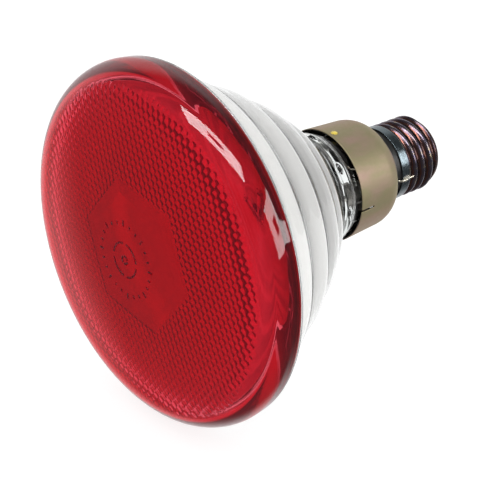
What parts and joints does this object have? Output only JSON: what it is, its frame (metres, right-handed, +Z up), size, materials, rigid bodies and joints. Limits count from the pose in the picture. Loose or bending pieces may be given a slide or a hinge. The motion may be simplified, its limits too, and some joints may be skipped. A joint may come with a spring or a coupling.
{
  "type": "reflector heat lamp",
  "caption": "Red infrared reflector heat lamp: patterned red lens, pressed glass reflector and skirted E27 screw cap.",
  "frame": {"origin": "on the lamp's axis, at the tip of the centre contact, where the lamp seats in its holder", "axes": "+Y along the lamp's axis, out of the cap's end, so the lens faces -Y; +Z up; the skirt's first slit is 7 degrees below +X"},
  "size_m": [0.1216, 0.1344, 0.1216],
  "materials": {
    "red_glass": "red pressed glass, polished outside, patterned inside",
    "clear_glass": "clear pressed glass",
    "mirror_film": "evaporated aluminium",
    "sealing_alloy": "oxidised nickel-iron alloy",
    "filler_metal": "brazing filler",
    "nickel_wire": "nickel plated",
    "tungsten": "drawn wire",
    "molybdenum": "drawn wire",
    "skirt_metal": "yellow passivated, satin",
    "black_moulding": "moulded thermoset",
    "shell_metal": "heat-tinted, bright",
    "black_glass": "opaque black glass",
    "contact_brass": "polished",
    "solder": "soft solder",
    "tinned_wire": "tinned copper",
    "glass_fibre": "woven glass fibre"
  },
  "bodies": {
    "root": {"front_lens": "red_glass", "reflector_glass": "clear_glass", "exhaust_tip": "clear_glass", "bridge_bead": "clear_glass", "reflector_coating": "mirror_film", "ferrule_live": "sealing_alloy", "ferrule_neutral": "sealing_alloy", "ferrule_brazes": "filler_metal", "lead_post_live": "nickel_wire", "lead_post_neutral": "nickel_wire", "filament_clamps": "nickel_wire", "filament_coil": "tungsten", "filament_anchor": "molybdenum", "cap_skirt": "skirt_metal", "insulator_ring": "black_moulding", "screw_shell": "shell_metal", "contact_insulator": "black_glass", "centre_contact": "contact_brass", "centre_solder": "solder", "side_solder": "solder", "ferrule_solders": "solder", "side_wire": "tinned_wire", "centre_wires": "tinned_wire", "fuse_link": "tinned_wire", "fuse_sleeve": "glass_fibre"}
  },
  "joints": []
}
